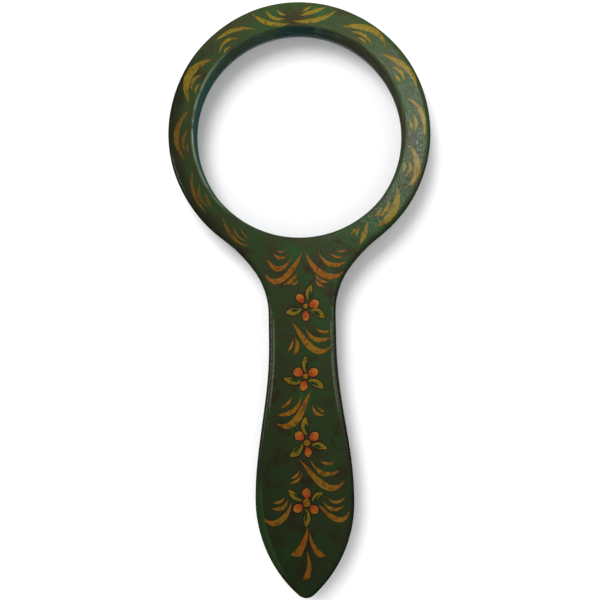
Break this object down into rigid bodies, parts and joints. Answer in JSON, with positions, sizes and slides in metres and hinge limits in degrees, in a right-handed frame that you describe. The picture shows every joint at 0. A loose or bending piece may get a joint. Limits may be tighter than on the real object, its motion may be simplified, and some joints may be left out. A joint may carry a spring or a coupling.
{
  "type": "hand lens",
  "caption": "Round reading lens in a painted wooden ring, with a flat handle in one piece with the ring that swells and ends in a point.",
  "frame": {"origin": "middle of the footprint, on the flat back face", "axes": "+Z out of the painted front face and along the lens's axis, +Y from the handle's tip to the ring"},
  "size_m": [0.108, 0.2454, 0.015],
  "materials": {
    "painted_wood": "dark green paint with ochre, orange and red brushwork under satin varnish",
    "lens_glass": "polished faces, ground edge",
    "bedding_card": "card stained dark teal, like the opening's wall",
    "screw_brass": "dulled brass"
  },
  "bodies": {
    "root": {"handle_frame": "painted_wood", "lens": "lens_glass", "front_bedding_ring": "bedding_card", "rear_bedding_ring": "bedding_card", "retaining_ring": "painted_wood", "retaining_screws": "screw_brass"}
  },
  "joints": []
}
